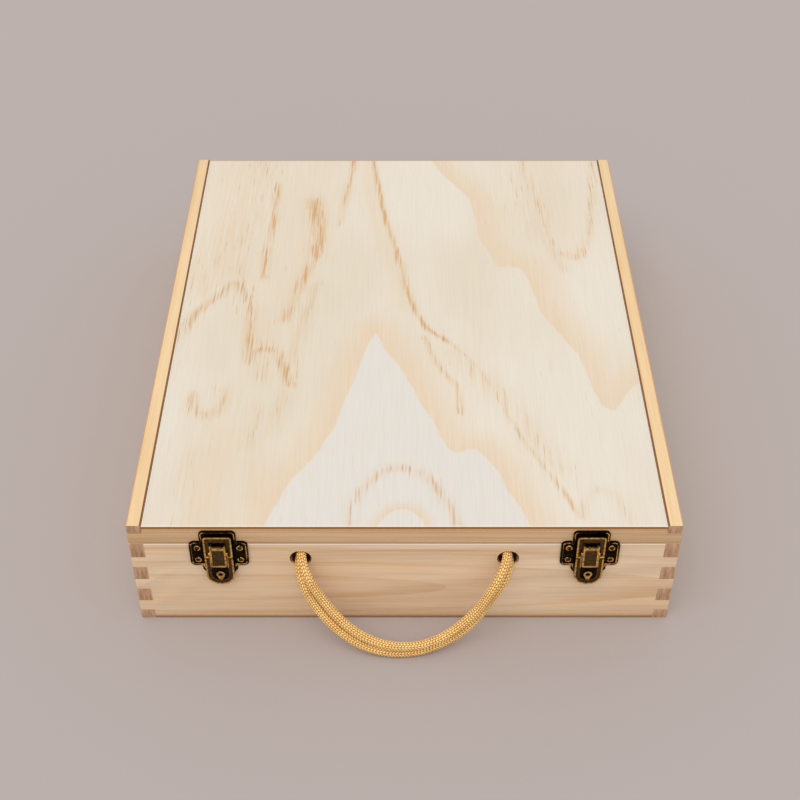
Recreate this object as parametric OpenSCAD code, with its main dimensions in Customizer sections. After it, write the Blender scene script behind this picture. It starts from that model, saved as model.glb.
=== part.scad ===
// Flat pine box with finger-jointed corners and a lid sawn from the same carcass.
// Plywood panels close the top and the bottom, two toggle latches hold the front, two butt
// hinges hold the back, and a doubled rope handle hangs from two holes in the front wall.
// Millimetres, X to the right, Y to the back, Z up. The origin is the middle of the underside.

/* [Box] */
// Outer width, from side to side
box_w = 300; // [270:5:360]
// Outer depth, from front to back
box_d = 368; // [320:4:420]
// Height of the base, up to the saw cut
base_h = 62; // [61:1:90]
// Height of the lid, from the saw cut to the side rails' top edges
lid_h = 13.8; // [13.4:0.2:20]
// Gap that the saw cut leaves between the base and the lid
saw_gap = 0.2; // [0.1:0.1:0.5]
// Thickness of the four walls
wall_t = 8; // [7:0.5:10]
// Thickness of the plywood panels
panel_t = 4; // [3:0.5:4.5]
// Depth of the top panel's face below the side rails' edges
panel_drop = 0.5; // [0.2:0.1:1]

/* [Finger joints] */
// Height of a front or back wall's finger
finger_h = 8; // [6:0.5:9]
// Height of the side wall between two fingers
finger_gap = 10; // [8:0.5:12]
// Height of the lowest finger above the underside
finger_start = 7; // [5:0.5:9]
// Height of the lid's finger, measured from its lower edge
lid_finger_h = 7.8; // [6:0.2:9]

/* [Rope handle] */
// Diameter of the two holes for the rope
handle_hole_d = 12; // [11.6:0.2:14]
// Distance of each hole from the middle of the box
handle_x = 57; // [50:1:70]
// Distance of the holes' centres below the saw cut
handle_drop = 12; // [11:1:16]
// Diameter of one strand of the rope
strand_d = 5.3; // [4.5:0.1:5.4]
// Distance between the two strands' centres
strand_pitch = 5.5; // [5.5:0.1:5.8]
// Diameter of the knot behind each hole
knot_d = 17; // [15:0.5:20]
// Depth of the knot behind the wall
knot_l = 13; // [11:0.5:16]
// Length of the cut ends that stand out of a knot
rope_tail = 9; // [5:1:15]

/* [Latches] */
// Distance of each latch's middle from the box's nearer side
latch_inset = 48.7; // [40:0.1:55]
// Thickness of the stamped plates
plate_t = 0.8; // [0.6:0.1:1]
// Height of the rolled rim on a fixed plate
rim_h = 0.4; // [0.2:0.1:0.5]
// Width of the rolled rim on a fixed plate
rim_w = 1.3; // [0.8:0.1:1.6]
// Half the width over the plate's ears
ear_x = 16; // [15:0.5:18]
// Half the width of the keeper on the lid
keeper_x = 10; // [9:0.5:11]
// Height of the keeper's top above the saw cut
keeper_top = 10.5; // [10:0.1:11.5]
// Half the width of the tongue, which the hook and the lever share
tongue_x = 7.7; // [7.5:0.1:8.3]
// Distance of the tongue's back from the front wall
tongue_out = 2.2; // [2.1:0.1:2.6]
// Thickness of the tongue's sheet
tongue_t = 0.9; // [0.7:0.1:1]
// Height of the tongue's rim over its sheet
tongue_rim = 0.4; // [0.2:0.1:0.6]
// Width of the tongue's rim
tongue_rim_w = 0.9; // [0.7:0.1:1.2]
// Height of the hook's top above the saw cut
hook_top = 8.2; // [7.8:0.1:9]
// Half the width of the bridge that carries the lever
bridge_x = 4.3; // [4.1:0.05:4.7]
// Distance of the bridge's face from the front wall
bridge_out = 5; // [4.9:0.1:6]
// Diameter of the lever's pin
lever_pin_d = 1.4; // [1.2:0.1:1.6]
// Diameter of the hook's pins
hook_pin_d = 0.72; // [0.6:0.02:0.8]

/* [Hinges] */
// Width of a hinge
hinge_w = 24; // [20:1:30]
// Distance of each hinge's middle from the box's nearer side
hinge_inset = 48; // [30:1:70]
// Thickness of a leaf
leaf_t = 0.9; // [0.7:0.1:1.1]
// Height of a leaf, measured from the pin
leaf_h = 11; // [10.4:0.1:11.5]
// Outer diameter of the knuckles
knuckle_d = 3.6; // [3.4:0.1:4]
// Diameter of the hinge pin
hinge_pin_d = 1.6; // [1.2:0.1:1.8]
// Number of knuckles in a hinge
knuckles = 5; // [3:2:7]

/* [Nails] */
// Diameter of the shanks
nail_d = 1.2; // [1:0.1:1.4]
// Diameter of the heads
nail_head_d = 2.2; // [1.8:0.1:2.3]
// Height of the heads
nail_head_h = 0.5; // [0.3:0.1:0.6]
// Length of a nail under its head
nail_l = 6.5; // [5:0.5:7]

/* [Hidden] */
$fn = 48;

LEFT = -1;
RIGHT = 1;
FRONT = -1;
BACK = 1;

// Colours of the materials
PINE = [0.84, 0.71, 0.56];
RAIL = [0.93, 0.81, 0.60];
PLYWOOD = [0.90, 0.85, 0.75];
BRASS = [0.35, 0.26, 0.14];
BRIGHT = [0.72, 0.53, 0.28];
ROPE = [0.93, 0.72, 0.36];

// Play of a pin that is pressed into its seat, and of one that turns in it
press_play = 0.02;
run_play = 0.05;
nail_play = 0.05;

// The carcass
inner_w = box_w - 2 * wall_t;
handle_z = base_h - handle_drop;
lid_low = base_h + saw_gap;
lid_top = lid_low + lid_h;
panel_top = lid_top - panel_drop;
rail_top = panel_top - panel_t;
front_y = -box_d / 2;
back_y = box_d / 2;
finger_pitch = finger_h + finger_gap;
base_fingers = [for (z = finger_start; z + finger_h + 1 < base_h; z = z + finger_pitch) z];
lid_fingers = [lid_low];

// The latch, from the saw cut upwards and from the front wall outwards
latch_x = box_w / 2 - latch_inset;
keeper_low = 0.4;
keeper_gap = 0.3;
keeper_round = 2.7;
ear_top = 2.5;
ear_low = -16.1;
ear_round = 3.1;
ear_rib_h = 0.2;
ear_rib_w = 0.9;
tail_x = 9.6;
tail_low = -24;
tail_chamfer = [3.6, 5];
plate_nail_x = 11.6;
plate_nail_z = [-2.4, -11.6];
keeper_nail_x = 4.5;
keeper_nail_z = 2.8;
boss_d = 4.1;
boss_h = 0.5;
bridge_low = -13.7;
bridge_top = 1.6;
bridge_t = 0.8;
bridge_round = 1.1;
bridge_rim = 0.95;
bridge_foot = 1.2;
bridge_roll = 2;
bridge_recess = 0.3;
// The bridge reaches up over the keeper and stands clear of its nails
bridge_step = -1;
bridge_keeper_gap = 0.3;
horn_h = 1.2;
horn_w = 0.7;
lever_axis = [bridge_out - 1.4, -4.3];
hook_axis = [tongue_out + 0.7, -7.6];
knuckle_r = lever_pin_d / 2 + 0.5;
hook_eye_r = hook_pin_d / 2 + 0.34;
side_gap = 0.1;
cheek_t = 0.7;
cheek_x = bridge_x + side_gap;
leg_x = cheek_x + cheek_t + 0.15;
cheek_back = 1.9;
cheek_depth = 1.5;
lever_top = hook_axis.y - hook_eye_r - 0.5;
lever_end_z = -21.5;
lever_window_low = -15.6;
lever_border = 3.1;
lever_recess = 0.25;
eyelet_z = -21.2;
eyelet_d = 4.7;
eyelet_hole_d = 2.5;
eyelet_point = [0.7, 4.2];
flange_t = 0.8;
flange_back = 1.3;
hook_window_top = 3.8;
hook_window_x = cheek_x + 0.3;
hook_shoulder = -2.2;
hook_round = 1.6;
tooth_z = [4.6, 6.2];
tooth_x = 7;
hook_clearance = 0.15;
curl_h = 1.2;
// The curl of the hook stops short of the tooth's crest by hook_clearance
curl_back = tongue_out - 0.1;
tooth_out = curl_back - hook_clearance;

// The hinge
hinge_x = box_w / 2 - hinge_inset;
knuckle_gap = 0.2;
knuckle_l = (hinge_w - (knuckles - 1) * knuckle_gap) / knuckles;
knuckle_play = 0.3;
hinge_axis_out = knuckle_d / 2 + 0.4;
hinge_head_d = 2.4;
hinge_head_h = 0.5;
leaf_gap = 0.2;
hinge_nail_x = hinge_w / 3;
hinge_nail_z = 7;

// The rope. Each route is a whole strand, from the left hole to the right one: across from the
// middle of the box, out from the front wall, and up from the floor.
route_hole_x = 57;
route_hole_z = 50;
inner_route = [
    [-56.4, 0, 52.4], [-54.9, 6.8, 50.3], [-52.4, 11, 46.1], [-49.4, 12.8, 40.1],
    [-45.7, 13.8, 33.2], [-40.9, 16, 26.4], [-34.7, 19.2, 20.1], [-26.8, 22.6, 14.6],
    [-17.9, 25.3, 10.6], [-8.9, 27.2, 8.9], [0, 27.9, 8.6], [8.8, 27.3, 9.1], [17.6, 25.3, 11],
    [26.4, 22.3, 14.9], [34.4, 19, 20.3], [40.8, 16.7, 27.1], [45.1, 15.8, 35],
    [48.9, 14.3, 42.4], [52.2, 11.1, 47.6], [54.8, 6.5, 50.8], [56.4, 0, 52.4]
];
outer_route = [
    [-57.6, 0, 47], [-57.2, 3.9, 46], [-56.1, 8.1, 43.2], [-54.3, 11.3, 38], [-50.9, 13.1, 30.6],
    [-45.9, 16.1, 23.3], [-38.9, 19.7, 16.3], [-29.9, 23.1, 9.7], [-19.6, 25.8, 5.1],
    [-9.4, 27.2, 3.2], [0.1, 27.3, 2.8], [9.3, 26.3, 3.6], [18.2, 24.1, 5.5], [26.7, 21.4, 8.8],
    [34.5, 18.4, 13.6], [41.3, 14.9, 19.9], [46.4, 12.1, 27.6], [50.4, 12.1, 36],
    [54.2, 9.3, 42.6], [56.7, 4.3, 46.1], [57.6, 0, 47]
];
rope_sides = 10;

// ---- Carcass ----

// A wall that runs across the box: full width at its fingers, between the side walls elsewhere
module cross_wall(side, low, high, levels, level_h) {
    y = side * (box_d - wall_t) / 2;
    union() {
        translate([-inner_w / 2, y - wall_t / 2, low])
            cube([inner_w, wall_t, high - low]);
        for (z = levels)
            translate([-box_w / 2, y - wall_t / 2, z])
                cube([box_w, wall_t, level_h]);
    }
}

// A wall that runs from front to back, with a notch for each finger at both of its ends
module side_wall(side, low, high, levels, level_h) {
    difference() {
        translate([side * (box_w - wall_t) / 2 - wall_t / 2, -box_d / 2, low])
            cube([wall_t, box_d, high - low]);
        for (z = levels)
            for (end = [FRONT, BACK])
                translate([side * box_w / 2 - 2 * wall_t, end * box_d / 2 - wall_t, z])
                    cube([4 * wall_t, 2 * wall_t, level_h]);
    }
}

module panel(low) {
    translate([-inner_w / 2, -box_d / 2, low])
        cube([inner_w, box_d, panel_t]);
}

// Puts its children at a latch: outwards is -Y, and Z starts at the saw cut
module at_latch(side) {
    translate([side * latch_x, front_y, base_h])
        children();
}

// Puts its children at a hinge: outwards is +Y, and Z starts at the pin
module at_hinge(side) {
    translate([side * hinge_x, back_y, base_h])
        children();
}

// Raises a flat outline, drawn in X and Z, from one distance off the wall to another
module stamped(from, to) {
    translate([0, -from, 0])
        rotate([90, 0, 0])
            linear_extrude(to - from)
                children();
}

// A rod along X, out from the wall and up from the saw cut as axis says
module rod_x(axis, d, from, to) {
    translate([from, -axis.x, axis.y])
        rotate([0, 90, 0])
            cylinder(d = d, h = to - from);
}

// Nails are driven along Y: a shank, and a domed head on the plate's face
module nail(x, out, z, dir) {
    translate([x, dir * out, z])
        rotate([-90 * dir, 0, 0]) {
            translate([0, 0, -nail_l])
                cylinder(d = nail_d, h = nail_l);
            cylinder(d1 = nail_head_d, d2 = nail_head_d * 0.6, h = nail_head_h);
        }
}

// The hole that a nail goes through, in the plate and in the wood behind it
module nail_hole(x, z) {
    translate([x, 0, z])
        rotate([90, 0, 0])
            cylinder(d = nail_d + 2 * nail_play, h = 4 * nail_l, center = true);
}

module plate_nail_holes() {
    for (x = [-plate_nail_x, plate_nail_x])
        for (z = plate_nail_z)
            nail_hole(x, z);
}

module keeper_nail_holes() {
    for (x = [-keeper_nail_x, keeper_nail_x])
        nail_hole(x, keeper_nail_z);
}

module hinge_nail_holes(up) {
    for (x = [-hinge_nail_x, hinge_nail_x])
        nail_hole(x, up * hinge_nail_z);
}

module front_wall() {
    color(PINE)
        difference() {
            cross_wall(FRONT, panel_t, base_h, base_fingers, finger_h);
            for (x = [-handle_x, handle_x])
                translate([x, front_y + wall_t / 2, handle_z])
                    rotate([90, 0, 0])
                        cylinder(d = handle_hole_d, h = 2 * wall_t, center = true);
            for (side = [LEFT, RIGHT])
                at_latch(side)
                    plate_nail_holes();
        }
}

module back_wall() {
    color(PINE)
        difference() {
            cross_wall(BACK, panel_t, base_h, base_fingers, finger_h);
            for (side = [LEFT, RIGHT])
                at_hinge(side)
                    hinge_nail_holes(-1);
        }
}

module base_side(side) {
    color(PINE)
        side_wall(side, 0, base_h, base_fingers, finger_h);
}

module bottom_panel() {
    color(PLYWOOD)
        panel(0);
}

module lid_front_rail() {
    color(PINE)
        difference() {
            cross_wall(FRONT, lid_low, rail_top, lid_fingers, lid_finger_h);
            for (side = [LEFT, RIGHT])
                at_latch(side)
                    keeper_nail_holes();
        }
}

module lid_back_rail() {
    color(PINE)
        difference() {
            cross_wall(BACK, lid_low, rail_top, lid_fingers, lid_finger_h);
            for (side = [LEFT, RIGHT])
                at_hinge(side)
                    hinge_nail_holes(1);
        }
}

module lid_side(side) {
    color(RAIL)
        side_wall(side, lid_low, lid_top, lid_fingers, lid_finger_h);
}

module top_panel() {
    color(PLYWOOD)
        panel(rail_top);
}

// ---- Latches ----

// A rectangle with round corners, from circles and squares
module rounded(half_x, low, high, r) {
    translate([-half_x, low + r])
        square([2 * half_x, high - low - 2 * r]);
    translate([r - half_x, low])
        square([2 * (half_x - r), high - low]);
    for (x = [r - half_x, half_x - r])
        for (z = [low + r, high - r])
            translate([x, z])
                circle(r);
}

// The fixed plate's outline, drawn in by m: two ears and a tail
module plate_outline(m) {
    rounded(ear_x - m, ear_low + m, ear_top - m, ear_round - m);
    half = tail_x - m;
    polygon([
        [-half, ear_low + ear_round], [half, ear_low + ear_round],
        [half, tail_low + m + tail_chamfer.y],
        [half - tail_chamfer.x, tail_low + m],
        [tail_chamfer.x - half, tail_low + m],
        [-half, tail_low + m + tail_chamfer.y]
    ]);
}

// The slot in the fixed plate that leaves room for the keeper
module keeper_slot() {
    slot_x = keeper_x + keeper_gap;
    stamped(-1, bridge_out)
        translate([-slot_x, -keeper_gap])
            square([2 * slot_x, 2 * ear_top]);
}

// A ring stamped up around a nail or an eyelet
module boss(x, z, base, d, hole_d, h) {
    translate([x, -base, z])
        rotate([90, 0, 0])
            difference() {
                cylinder(d1 = d, d2 = d - h, h = h);
                translate([0, 0, -h])
                    cylinder(d = hole_d, h = 3 * h);
            }
}

module latch_plate(side) {
    color(BRASS)
        at_latch(side)
            difference() {
                union() {
                    stamped(0, plate_t)
                        plate_outline(0);
                    stamped(0, plate_t + rim_h)
                        difference() {
                            plate_outline(0);
                            plate_outline(rim_w);
                        }
                    for (x = [-plate_nail_x, plate_nail_x])
                        for (z = plate_nail_z)
                            boss(x, z, plate_t, boss_d, nail_head_d + 0.2, boss_h);
                    rib_z = (plate_nail_z[0] + plate_nail_z[1] - ear_rib_w) / 2;
                    for (x = [rim_w / 2 - ear_x, tongue_x])
                        stamped(0, plate_t + ear_rib_h)
                            translate([x, rib_z])
                                square([ear_x - rim_w / 2 - tongue_x, ear_rib_w]);
                }
                keeper_slot();
                plate_nail_holes();
            }
}

// A bent strap that stands on the plate, open at the top and bottom, and holds the lever's pin
module latch_bridge(side) {
    inner_x = bridge_x - bridge_t;
    face_x = bridge_x - bridge_rim;
    keeper_clear = plate_t + max(rim_h, nail_head_h) + bridge_keeper_gap;
    color(BRIGHT)
        at_latch(side)
            difference() {
                union() {
                    stamped(plate_t, bridge_out)
                        rounded(bridge_x, bridge_low, bridge_top, bridge_round);
                    for (x = [-bridge_x, bridge_x - horn_w])
                        translate([x, -bridge_out, bridge_top - bridge_round])
                            cube([horn_w, bridge_t, bridge_round + horn_h]);
                }
                stamped(0, bridge_out - bridge_t - bridge_recess)
                    translate([-inner_x, bridge_low - 1])
                        square([2 * inner_x, bridge_top - bridge_low + 2]);
                stamped(bridge_out - bridge_recess, bridge_out + 1)
                    translate([-face_x, bridge_low + bridge_foot])
                        square([2 * face_x, bridge_top - bridge_roll - bridge_low - bridge_foot]);
                stamped(0, keeper_clear)
                    translate([-2 * bridge_x, bridge_step])
                        square([4 * bridge_x, 2 * bridge_top - bridge_step]);
                rod_x(lever_axis, lever_pin_d + 2 * press_play, -2 * bridge_x, 2 * bridge_x);
            }
}

module lever_pin(side) {
    half = cheek_x + cheek_t;
    color(BRIGHT)
        at_latch(side)
            rod_x(lever_axis, lever_pin_d, -half, half);
}

// The lever's outline, drawn in by m: straight sides and a round lower end
module lever_outline(m) {
    translate([0, lever_end_z])
        circle(tongue_x - m);
    translate([m - tongue_x, lever_end_z])
        square([2 * (tongue_x - m), lever_top - lever_end_z]);
}

// The eyelet's rim, drawn out to a point below
module eyelet_outline() {
    translate([0, eyelet_z]) {
        circle(d = eyelet_d);
        polygon([
            [-0.44 * eyelet_d, -0.24 * eyelet_d], [-eyelet_point.x, -eyelet_point.y],
            [eyelet_point.x, -eyelet_point.y], [0.44 * eyelet_d, -0.24 * eyelet_d]
        ]);
    }
}

module latch_lever(side) {
    window_x = cheek_x + cheek_t - 0.05;
    color(BRASS)
        at_latch(side)
            difference() {
                union() {
                    difference() {
                        union() {
                            stamped(tongue_out, tongue_out + tongue_t)
                                lever_outline(0);
                            stamped(tongue_out, tongue_out + tongue_t + tongue_rim)
                                difference() {
                                    lever_outline(0);
                                    lever_outline(tongue_rim_w);
                                }
                            stamped(tongue_out, tongue_out + tongue_t + tongue_rim)
                                eyelet_outline();
                            for (x = [-tongue_x, tongue_x - flange_t])
                                translate([x, -tongue_out - tongue_t, lever_end_z])
                                    cube([flange_t, tongue_out + tongue_t - flange_back,
                                        lever_top - lever_end_z]);
                        }
                        stamped(0, 2 * bridge_out)
                            translate([-window_x, lever_window_low])
                                square([2 * window_x, -lever_window_low]);
                        stamped(tongue_out + tongue_t - lever_recess, 2 * bridge_out)
                            difference() {
                                lever_outline(lever_border);
                                eyelet_outline();
                            }
                        translate([0, 0, eyelet_z])
                            rotate([90, 0, 0])
                                cylinder(d = eyelet_hole_d, h = 4 * bridge_out, center = true);
                    }
                    for (x = [-cheek_x - cheek_t, cheek_x]) {
                        rod_x(lever_axis, 2 * knuckle_r, x, x + cheek_t);
                        translate([x, -cheek_back - cheek_depth, lever_window_low])
                            cube([cheek_t, cheek_depth, lever_axis.y - lever_window_low]);
                    }
                }
                rod_x(lever_axis, lever_pin_d + 2 * run_play, -ear_x, ear_x);
                rod_x(hook_axis, hook_pin_d + 2 * press_play, -ear_x, ear_x);
            }
}

module hook_pins(side) {
    length = tongue_x - 0.2 - cheek_x;
    color(BRIGHT)
        at_latch(side)
            for (from = [-cheek_x - length, cheek_x])
                rod_x(hook_axis, hook_pin_d, from, from + length);
}

// The hook's outline, drawn in by m: two legs and a round-cornered top
module hook_outline(m) {
    rounded(tongue_x - m, 0, hook_top - m, hook_round - m / 2);
    translate([m - tongue_x, hook_axis.y])
        square([2 * (tongue_x - m), hook_round - hook_axis.y]);
}

module latch_hook(side) {
    color(BRASS)
        at_latch(side)
            difference() {
                union() {
                    stamped(tongue_out, tongue_out + tongue_t)
                        hook_outline(0);
                    stamped(tongue_out, tongue_out + tongue_t + tongue_rim)
                        difference() {
                            hook_outline(0);
                            hook_outline(tongue_rim_w);
                        }
                    stamped(curl_back, tongue_out + tongue_t)
                        intersection() {
                            hook_outline(0);
                            translate([-tongue_x, hook_top - curl_h])
                                square([2 * tongue_x, curl_h]);
                        }
                    for (x = [-tongue_x, leg_x])
                        rod_x(hook_axis, 2 * hook_eye_r, x, x + tongue_x - leg_x);
                }
                stamped(0, 2 * bridge_out) {
                    translate([-leg_x, 2 * hook_axis.y])
                        square([2 * leg_x, hook_shoulder - 2 * hook_axis.y]);
                    translate([-hook_window_x, hook_shoulder - 1])
                        square([2 * hook_window_x, hook_window_top - hook_shoulder + 1]);
                }
                rod_x(hook_axis, hook_pin_d + 2 * run_play, -ear_x, ear_x);
            }
}

// The keeper's outline, drawn in by m: round corners at the top only
module keeper_outline(m) {
    half = keeper_x - m;
    rounded(half, keeper_low + m, keeper_top - m, keeper_round - m);
    translate([-half, keeper_low + m])
        square([2 * half, keeper_round]);
}

module latch_keeper(side) {
    color(BRASS)
        at_latch(side)
            difference() {
                union() {
                    stamped(0, plate_t)
                        keeper_outline(0);
                    stamped(0, plate_t + rim_h)
                        difference() {
                            keeper_outline(0);
                            keeper_outline(rim_w);
                            translate([rim_w - keeper_x, keeper_low - 1])
                                square([2 * (keeper_x - rim_w), keeper_round]);
                        }
                    stamped(0, tooth_out)
                        translate([-tooth_x, tooth_z[0]])
                            square([2 * tooth_x, tooth_z[1] - tooth_z[0]]);
                }
                keeper_nail_holes();
            }
}

module plate_nails(side) {
    color(BRIGHT)
        at_latch(side)
            for (x = [-plate_nail_x, plate_nail_x])
                for (z = plate_nail_z)
                    nail(x, plate_t, z, FRONT);
}

module keeper_nails(side) {
    color(BRIGHT)
        at_latch(side)
            for (x = [-keeper_nail_x, keeper_nail_x])
                nail(x, plate_t, keeper_nail_z, FRONT);
}

// ---- Hinges ----

// Where each knuckle of a hinge starts; the base's leaf has the outer ones
function knuckle_start(i) = i * (knuckle_l + knuckle_gap) - hinge_w / 2;

module hinge_rod(d, from, length) {
    translate([from, hinge_axis_out, 0])
        rotate([0, 90, 0])
            cylinder(d = d, h = length);
}

// One leaf: up is 1 for the lid's and -1 for the base's, and first is its first knuckle
module hinge_leaf(side, up, first, play) {
    color(BRASS)
        at_hinge(side)
            difference() {
                union() {
                    translate([-hinge_w / 2, 0, up > 0 ? leaf_gap : -leaf_h])
                        cube([hinge_w, leaf_t, leaf_h - leaf_gap]);
                    for (i = [first:2:knuckles - 1]) {
                        hinge_rod(knuckle_d, knuckle_start(i), knuckle_l);
                        translate([knuckle_start(i), 0, up > 0 ? leaf_gap : -knuckle_d / 2])
                            cube([knuckle_l, hinge_axis_out, knuckle_d / 2 - leaf_gap]);
                    }
                }
                for (i = [1 - first:2:knuckles - 1])
                    hinge_rod(knuckle_d + 2 * knuckle_play, knuckle_start(i) - knuckle_gap,
                        knuckle_l + 2 * knuckle_gap);
                hinge_rod(hinge_pin_d + 2 * play, -hinge_w, 2 * hinge_w);
                hinge_nail_holes(up);
            }
}

module hinge_pin(side) {
    color(BRIGHT)
        at_hinge(side) {
            hinge_rod(hinge_pin_d, -hinge_w / 2, hinge_w);
            for (x = [-hinge_w / 2 - hinge_head_h, hinge_w / 2])
                hinge_rod(hinge_head_d, x, hinge_head_h);
        }
}

module hinge_nails(side, up) {
    color(BRIGHT)
        at_hinge(side)
            for (x = [-hinge_nail_x, hinge_nail_x])
                nail(x, leaf_t, up * hinge_nail_z, BACK);
}

// ---- Rope handle ----

// Fits a route's point to the holes and stands it in front of the wall
function placed(p) = [
    p.x * handle_x / route_hole_x,
    front_y - p.y,
    strand_d / 2 + (p.z - strand_d / 2) * (handle_z - strand_d / 2) / (route_hole_z - strand_d / 2)
];

function loop_points(route) = [for (p = route) placed(p)];

function unit(v) = v / norm(v);

// The direction of a path at its point i; both ends point straight out of the wall
function heading(path, i) =
    i == 0 ? [0, -1, 0] :
    i == len(path) - 1 ? [0, 1, 0] :
    unit(path[i + 1] - path[i - 1]);

// The side direction of each ring, carried on from the ring before so that nothing twists
function ring_sides(path, i = 0, side = [1, 0, 0], done = []) =
    i == len(path) ? done :
    let (h = heading(path, i), s = unit(side - (side * h) * h))
    ring_sides(path, i + 1, s, concat(done, [s]));

module rope_tube(path) {
    sides = ring_sides(path);
    last = len(path) - 1;
    points = [
        for (i = [0:last])
            let (up = cross(heading(path, i), sides[i]))
            for (k = [0:rope_sides - 1])
                let (a = 360 * k / rope_sides)
                path[i] + strand_d / 2 * (cos(a) * sides[i] + sin(a) * up)
    ];
    skin = [
        for (i = [0:last - 1])
            for (k = [0:rope_sides - 1])
                let (a = i * rope_sides + k, b = i * rope_sides + (k + 1) % rope_sides)
                for (face = [[a, a + rope_sides, b], [b, a + rope_sides, b + rope_sides]])
                    face
    ];
    caps = [
        [for (k = [0:rope_sides - 1]) k],
        [for (k = [rope_sides - 1:-1:0]) last * rope_sides + k]
    ];
    polyhedron(points, concat(skin, caps));
}

module rope_strand(route) {
    color(ROPE)
        rope_tube(loop_points(route));
}

// The stretches of both strands that lie in a hole
module rope_ends(side) {
    color(ROPE)
        for (route = [inner_route, outer_route])
            let (p = placed(side < 0 ? route[0] : route[len(route) - 1]))
                translate([p.x, front_y + wall_t, p.z])
                    rotate([90, 0, 0])
                        cylinder(d = strand_d, h = wall_t);
}

// The knot that keeps the rope from pulling out, with its two cut ends
module rope_knot(side) {
    neck = knot_d * 0.3;
    color(ROPE)
        translate([side * handle_x, front_y + wall_t, handle_z])
            rotate([-90, 0, 0]) {
                rotate_extrude()
                    intersection() {
                        translate([0, knot_l / 2])
                            rounded(knot_d / 2, -knot_l / 2, knot_l / 2, neck);
                        square([knot_d, knot_l]);
                    }
                for (k = [-1, 1])
                    translate([0, k * strand_pitch / 2, knot_l - neck])
                        cylinder(d = strand_d, h = rope_tail + neck);
            }
}

front_wall();
back_wall();
base_side(LEFT);  // left_wall
base_side(RIGHT);  // right_wall
bottom_panel();
lid_front_rail();
lid_back_rail();
lid_side(LEFT);  // lid_left_rail
lid_side(RIGHT);  // lid_right_rail
top_panel();
latch_plate(LEFT);  // left_latch_plate
latch_bridge(LEFT);  // left_latch_bridge
latch_lever(LEFT);  // left_latch_lever
latch_hook(LEFT);  // left_latch_hook
latch_keeper(LEFT);  // left_latch_keeper
lever_pin(LEFT);  // left_lever_pin
hook_pins(LEFT);  // left_hook_pins
plate_nails(LEFT);  // left_plate_nails
keeper_nails(LEFT);  // left_keeper_nails
latch_plate(RIGHT);  // right_latch_plate
latch_bridge(RIGHT);  // right_latch_bridge
latch_lever(RIGHT);  // right_latch_lever
latch_hook(RIGHT);  // right_latch_hook
latch_keeper(RIGHT);  // right_latch_keeper
lever_pin(RIGHT);  // right_lever_pin
hook_pins(RIGHT);  // right_hook_pins
plate_nails(RIGHT);  // right_plate_nails
keeper_nails(RIGHT);  // right_keeper_nails
hinge_leaf(LEFT, -1, 0, press_play);  // left_hinge_base_leaf
hinge_leaf(LEFT, 1, 1, run_play);  // left_hinge_lid_leaf
hinge_pin(LEFT);  // left_hinge_pin
hinge_nails(LEFT, -1);  // left_hinge_base_nails
hinge_nails(LEFT, 1);  // left_hinge_lid_nails
hinge_leaf(RIGHT, -1, 0, press_play);  // right_hinge_base_leaf
hinge_leaf(RIGHT, 1, 1, run_play);  // right_hinge_lid_leaf
hinge_pin(RIGHT);  // right_hinge_pin
hinge_nails(RIGHT, -1);  // right_hinge_base_nails
hinge_nails(RIGHT, 1);  // right_hinge_lid_nails
rope_strand(inner_route);  // rope_inner_strand
rope_strand(outer_route);  // rope_outer_strand
rope_ends(LEFT);  // left_rope_ends
rope_ends(RIGHT);  // right_rope_ends
rope_knot(LEFT);  // left_rope_knot
rope_knot(RIGHT);  // right_rope_knot
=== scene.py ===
import math

import bmesh
import bpy
import numpy as np
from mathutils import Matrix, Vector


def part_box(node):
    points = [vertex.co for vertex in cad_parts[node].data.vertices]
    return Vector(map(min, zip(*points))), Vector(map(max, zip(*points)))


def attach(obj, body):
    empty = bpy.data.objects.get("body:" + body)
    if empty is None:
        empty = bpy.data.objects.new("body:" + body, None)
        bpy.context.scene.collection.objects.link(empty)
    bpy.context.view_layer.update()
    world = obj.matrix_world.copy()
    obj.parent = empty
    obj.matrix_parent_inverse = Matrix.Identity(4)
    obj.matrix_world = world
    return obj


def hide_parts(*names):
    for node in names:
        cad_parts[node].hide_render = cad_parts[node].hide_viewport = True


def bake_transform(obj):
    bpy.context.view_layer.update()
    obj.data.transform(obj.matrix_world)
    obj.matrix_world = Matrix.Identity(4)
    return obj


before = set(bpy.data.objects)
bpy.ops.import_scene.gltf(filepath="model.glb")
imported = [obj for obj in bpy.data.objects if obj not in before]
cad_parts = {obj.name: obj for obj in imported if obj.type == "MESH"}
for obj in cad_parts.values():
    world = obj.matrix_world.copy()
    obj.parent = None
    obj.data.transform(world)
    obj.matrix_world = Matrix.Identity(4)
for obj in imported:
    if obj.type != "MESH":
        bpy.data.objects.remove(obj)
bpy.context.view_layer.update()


# ---- Camera ----
# The photograph looks down on the box from in front, about 41 degrees below the horizon, through
# a long lens and onto a square picture.
CAMERA_PLACE = (-0.0024, -0.7033, 0.6257)
CAMERA_TILT = math.radians(48.5)
CAMERA_LENS = 63.12

camera_data = bpy.data.cameras.new("camera")
camera_data.lens = CAMERA_LENS
camera = bpy.data.objects.new("camera", camera_data)
camera.location = CAMERA_PLACE
camera.rotation_euler = (CAMERA_TILT, 0, 0)
bpy.context.scene.collection.objects.link(camera)
bpy.context.scene.camera = camera
bpy.context.scene.view_settings.view_transform = "Standard"


# ---- Rope handle ----
# A doubled cord of shiny gold yarn, a round braid with a herringbone face. Both strands come out
# of a hole, hang in front of the wall, lie on the floor at their lowest point and go back in.
# Behind the wall one strand is wound round the other, which keeps the rope from pulling out.
MM = 0.001
HOLE_X = 57 * MM
HOLE_Z = 50 * MM
STRAND_D = 5.3 * MM

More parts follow.
